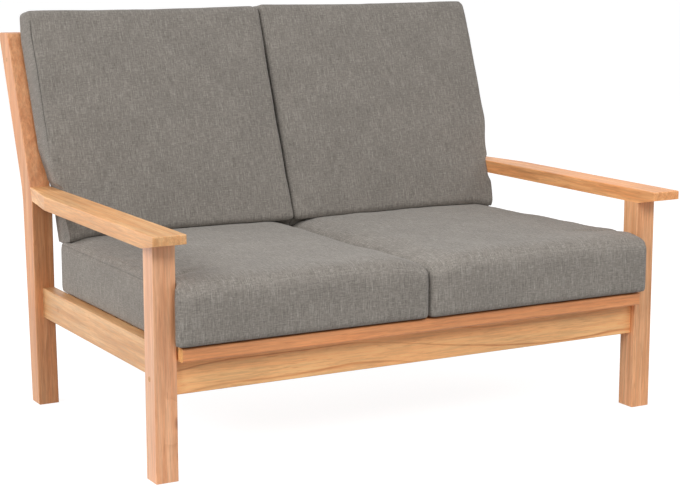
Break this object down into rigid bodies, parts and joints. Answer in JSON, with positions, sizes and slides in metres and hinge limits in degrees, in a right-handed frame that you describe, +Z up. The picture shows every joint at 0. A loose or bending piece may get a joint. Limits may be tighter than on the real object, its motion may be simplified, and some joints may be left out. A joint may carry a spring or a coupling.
{
  "type": "patio loveseat",
  "caption": "Hardwood garden loveseat with flat arms, raked slatted back, slatted seat deck and loose box cushions on seat and back.",
  "frame": {"origin": "on the floor, under the centre of the loveseat's outline", "axes": "+Z up, the sitter faces -Y, +X is to the right as seen from the front, so right and left are as the picture shows them"},
  "size_m": [1.348, 0.9994, 0.954],
  "materials": {
    "hardwood": "oiled, golden orange with brown grain",
    "dowel": "raw pale hardwood",
    "plug": "dark end-grain plug",
    "fabric": "heathered grey-taupe outdoor weave",
    "steel": "plain stainless",
    "glide": "black nylon"
  },
  "bodies": {
    "frame": {"front_leg_left": "hardwood", "front_leg_right": "hardwood", "back_post_left": "hardwood", "back_post_right": "hardwood", "arm_left": "hardwood", "arm_right": "hardwood", "side_rail_left": "hardwood", "side_rail_right": "hardwood", "front_apron": "hardwood", "rear_rail": "hardwood", "side_bearer_left": "hardwood", "centre_bearer": "hardwood", "side_bearer_right": "hardwood", "front_seat_board": "hardwood", "seat_slat_1": "hardwood", "seat_slat_2": "hardwood", "seat_slat_3": "hardwood", "seat_slat_4": "hardwood", "seat_slat_5": "hardwood", "seat_slat_6": "hardwood", "back_bottom_rail": "hardwood", "back_top_rail": "hardwood", "back_slat_1": "hardwood", "back_slat_2": "hardwood", "back_slat_3": "hardwood", "back_slat_4": "hardwood", "back_slat_5": "hardwood", "back_slat_6": "hardwood", "back_slat_7": "hardwood", "back_slat_8": "hardwood", "back_slat_9": "hardwood", "back_slat_10": "hardwood", "back_slat_11": "hardwood", "long_bolts": "steel", "short_bolts": "steel", "barrel_nuts": "steel", "plugs": "plug", "dowels": "dowel", "deck_screws": "steel", "bearer_screws": "steel", "glides": "glide"},
    "seat_cushion_left": {"seat_cushion_left": "fabric"},
    "seat_cushion_right": {"seat_cushion_right": "fabric"},
    "back_cushion_left": {"back_cushion_left": "fabric"},
    "back_cushion_right": {"back_cushion_right": "fabric"}
  },
  "joints": [
    {"name": "seat_cushion_left_draw", "type": "slide", "parent": "frame", "child": "seat_cushion_left", "axis": [0, -1, 0], "range_m": [0, 0.76]},
    {"name": "seat_cushion_right_draw", "type": "slide", "parent": "frame", "child": "seat_cushion_right", "axis": [0, -1, 0], "range_m": [0, 0.76]},
    {"name": "back_cushion_left_lift", "type": "slide", "parent": "frame", "child": "back_cushion_left", "axis": [0, 0.3502, 0.9367], "range_m": [0, 0.56]},
    {"name": "back_cushion_right_lift", "type": "slide", "parent": "frame", "child": "back_cushion_right", "axis": [0, 0.3502, 0.9367], "range_m": [0, 0.56]}
  ]
}
